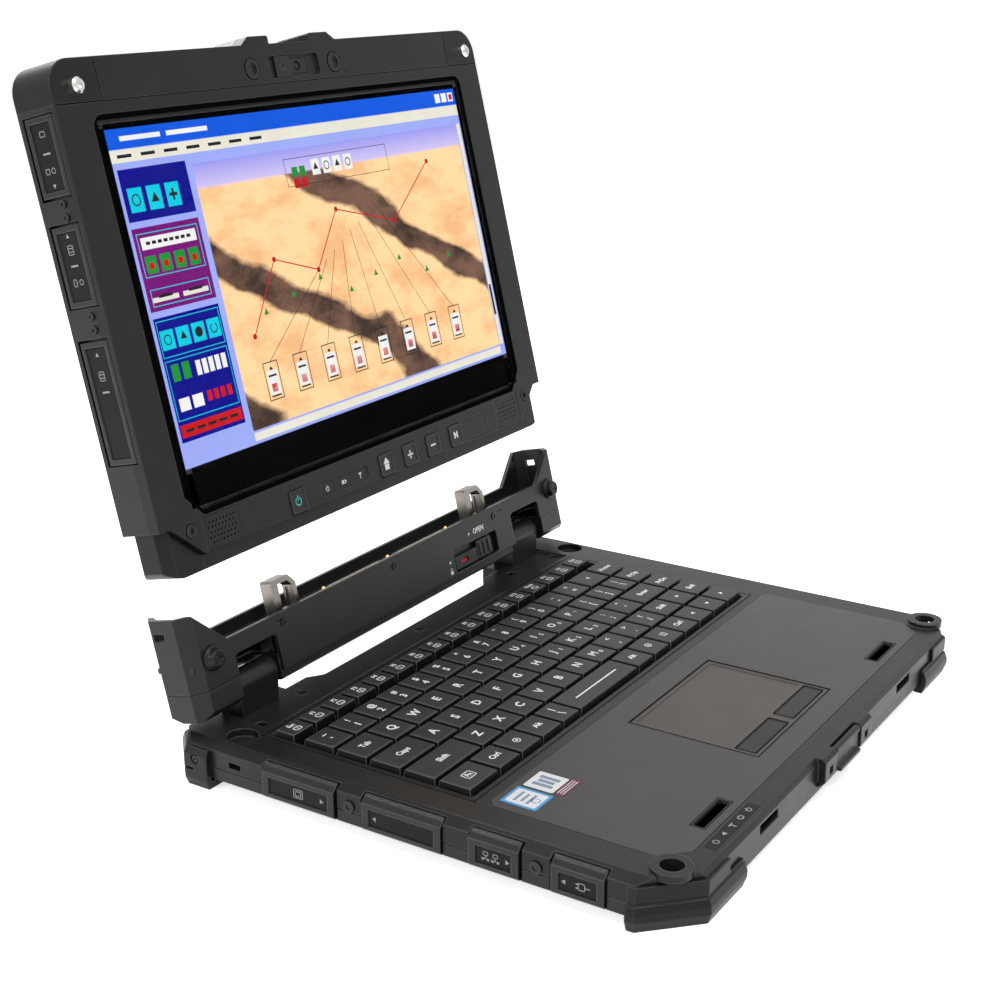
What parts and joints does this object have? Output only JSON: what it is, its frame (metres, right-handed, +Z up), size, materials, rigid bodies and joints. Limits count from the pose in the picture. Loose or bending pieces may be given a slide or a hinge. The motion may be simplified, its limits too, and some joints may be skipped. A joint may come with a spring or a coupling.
{
  "type": "laptop computer",
  "caption": "Rugged convertible laptop: keyboard dock with a hinged cradle, and a tablet that lifts straight out of the cradle; covered ports, rubber corners and a front catch.",
  "frame": {"origin": "middle of the bounding box's bottom face, on the desk", "axes": "+X to the user's right, +Y to the rear (towards the hinge), +Z up"},
  "size_m": [0.3376, 0.3432, 0.3291],
  "materials": {
    "shell": "textured",
    "deck": "satin",
    "palm": "satin",
    "rubber": "matte",
    "keys": "satin",
    "key_plate": "matte",
    "pad": "satin",
    "steel": "brushed",
    "dark_steel": "dark",
    "contact": "plated",
    "socket": "stamped",
    "board": "lacquered",
    "cover": "textured",
    "button": "satin",
    "bezel": "satin",
    "glass": "clear",
    "screen": "lit picture",
    "lens": "gloss",
    "battery": "textured"
  },
  "bodies": {
    "dock": {"dock_bottom": "shell", "dock_top": "deck", "palm_rest_panel": "palm", "keyboard_plate": "key_plate", "touchpad": "pad", "front_corner_left": "rubber", "front_corner_right": "rubber", "rear_corner_left": "rubber", "rear_corner_right": "rubber", "dock_board": "board", "dock_ports": "socket", "dock_feet": "rubber", "dock_screws": "dark_steel", "hinge_block_left": "shell", "hinge_block_right": "shell", "front_latch_pin": "steel"},
    "cradle": {"cradle_housing": "shell", "cradle_lower_cover": "shell", "hinge_pins": "steel", "docking_connector": "button", "docking_contacts": "contact", "cradle_stops": "rubber", "cradle_screws": "dark_steel"},
    "tablet": {"tablet_rear": "shell", "tablet_bezel": "bezel", "display_glass": "glass", "display_panel": "screen", "tablet_board": "board", "tablet_battery": "battery", "tablet_corners": "rubber", "tablet_posts": "steel", "tablet_screws": "dark_steel", "speaker_grilles": "bezel", "camera_module": "lens"},
    "release": {"release_slider": "button", "release_bar": "steel"},
    "lock": {"lock_slider": "button"},
    "latch": {"front_latch": "shell"},
    "dock_cover_1": {"dock_cover_1": "cover"},
    "dock_cover_2": {"dock_cover_2": "cover"},
    "dock_cover_3": {"dock_cover_3": "cover"},
    "dock_cover_4": {"dock_cover_4": "cover"},
    "touchpad_button_left": {"touchpad_button_left": "button"},
    "touchpad_button_right": {"touchpad_button_right": "button"},
    "function_keys": {"function_keys": "keys"},
    "number_keys": {"number_keys": "keys"},
    "upper_letter_keys": {"upper_letter_keys": "keys"},
    "home_letter_keys": {"home_letter_keys": "keys"},
    "lower_letter_keys": {"lower_letter_keys": "keys"},
    "space_keys": {"space_keys": "keys"},
    "power_button": {"power_button": "button"},
    "home_button": {"home_button": "button"},
    "plus_button": {"plus_button": "button"},
    "minus_button": {"minus_button": "button"},
    "program_button": {"program_button": "button"},
    "camera_shutter": {"camera_shutter": "button"},
    "battery_latch": {"battery_latch": "button"},
    "tablet_door_1": {"tablet_door_1": "cover"},
    "tablet_door_2": {"tablet_door_2": "cover"},
    "tablet_door_3": {"tablet_door_3": "cover"}
  },
  "joints": [
    {"name": "cradle_hinge", "type": "hinge", "parent": "dock", "child": "cradle", "pos_m": [0, 0.0866, 0.0362], "axis": [-1, 0, 0], "range_deg": [-103.6, 20]},
    {"name": "tablet_lift", "type": "slide", "parent": "cradle", "child": "tablet", "axis": [0, 0.2351, 0.972], "range_m": [-0.04, 0]},
    {"name": "release_slide", "type": "slide", "parent": "cradle", "child": "release", "axis": [1, 0, 0], "range_m": [0, 0.005], "stiffness_N_per_m": 300},
    {"name": "lock_slide", "type": "slide", "parent": "cradle", "child": "lock", "axis": [0, 0.2351, 0.972], "range_m": [0, 0.0035]},
    {"name": "latch_hinge", "type": "hinge", "parent": "dock", "child": "latch", "pos_m": [0, -0.1699, 0.0204], "axis": [1, 0, 0], "range_deg": [-180, 0]},
    {"name": "dock_cover_1_hinge", "type": "hinge", "parent": "dock", "child": "dock_cover_1", "pos_m": [-0.16695, 0.0412, 0.014], "axis": [0, 0, -1], "range_deg": [0, 95]},
    {"name": "dock_cover_2_hinge", "type": "hinge", "parent": "dock", "child": "dock_cover_2", "pos_m": [-0.16695, -0.05469, 0.014], "axis": [0, 0, 1], "range_deg": [0, 95]},
    {"name": "dock_cover_3_hinge", "type": "hinge", "parent": "dock", "child": "dock_cover_3", "pos_m": [-0.16695, -0.07, 0.014], "axis": [0, 0, -1], "range_deg": [0, 95]},
    {"name": "dock_cover_4_hinge", "type": "hinge", "parent": "dock", "child": "dock_cover_4", "pos_m": [-0.16695, -0.13361, 0.014], "axis": [0, 0, 1], "range_deg": [0, 95]},
    {"name": "touchpad_button_left_press", "type": "slide", "parent": "dock", "child": "touchpad_button_left", "axis": [0, 0, -1], "range_m": [0, 0.0008], "stiffness_N_per_m": 800},
    {"name": "touchpad_button_right_press", "type": "slide", "parent": "dock", "child": "touchpad_button_right", "axis": [0, 0, -1], "range_m": [0, 0.0008], "stiffness_N_per_m": 800},
    {"name": "function_keys_press", "type": "slide", "parent": "dock", "child": "function_keys", "axis": [0, 0, -1], "range_m": [0, 0.002], "stiffness_N_per_m": 800},
    {"name": "number_keys_press", "type": "slide", "parent": "dock", "child": "number_keys", "axis": [0, 0, -1], "range_m": [0, 0.002], "stiffness_N_per_m": 800},
    {"name": "upper_letter_keys_press", "type": "slide", "parent": "dock", "child": "upper_letter_keys", "axis": [0, 0, -1], "range_m": [0, 0.002], "stiffness_N_per_m": 800},
    {"name": "home_letter_keys_press", "type": "slide", "parent": "dock", "child": "home_letter_keys", "axis": [0, 0, -1], "range_m": [0, 0.002], "stiffness_N_per_m": 800},
    {"name": "lower_letter_keys_press", "type": "slide", "parent": "dock", "child": "lower_letter_keys", "axis": [0, 0, -1], "range_m": [0, 0.002], "stiffness_N_per_m": 800},
    {"name": "space_keys_press", "type": "slide", "parent": "dock", "child": "space_keys", "axis": [0, 0, -1], "range_m": [0, 0.002], "stiffness_N_per_m": 800},
    {"name": "power_button_press", "type": "slide", "parent": "tablet", "child": "power_button", "axis": [0, 0.972, -0.2351], "range_m": [0, 0.0008], "stiffness_N_per_m": 600},
    {"name": "home_button_press", "type": "slide", "parent": "tablet", "child": "home_button", "axis": [0, 0.972, -0.2351], "range_m": [0, 0.0008], "stiffness_N_per_m": 600},
    {"name": "plus_button_press", "type": "slide", "parent": "tablet", "child": "plus_button", "axis": [0, 0.972, -0.2351], "range_m": [0, 0.0008], "stiffness_N_per_m": 600},
    {"name": "minus_button_press", "type": "slide", "parent": "tablet", "child": "minus_button", "axis": [0, 0.972, -0.2351], "range_m": [0, 0.0008], "stiffness_N_per_m": 600},
    {"name": "program_button_press", "type": "slide", "parent": "tablet", "child": "program_button", "axis": [0, 0.972, -0.2351], "range_m": [0, 0.0008], "stiffness_N_per_m": 600},
    {"name": "camera_shutter_slide", "type": "slide", "parent": "tablet", "child": "camera_shutter", "axis": [1, 0, 0], "range_m": [0, 0.0125]},
    {"name": "battery_latch_slide", "type": "slide", "parent": "tablet", "child": "battery_latch", "axis": [1, 0, 0], "range_m": [0, 0.008]},
    {"name": "tablet_door_1_hinge", "type": "hinge", "parent": "tablet", "child": "tablet_door_1", "pos_m": [-0.16475, 0.11646, 0.15028], "axis": [0, -0.972, 0.2351], "range_deg": [0, 110]},
    {"name": "tablet_door_2_hinge", "type": "hinge", "parent": "tablet", "child": "tablet_door_2", "pos_m": [-0.16475, 0.13339, 0.22026], "axis": [0, -0.972, 0.2351], "range_deg": [0, 110]},
    {"name": "tablet_door_3_hinge", "type": "hinge", "parent": "tablet", "child": "tablet_door_3", "pos_m": [-0.16475, 0.15272, 0.30015], "axis": [0, 0.972, -0.2351], "range_deg": [0, 110]}
  ]
}
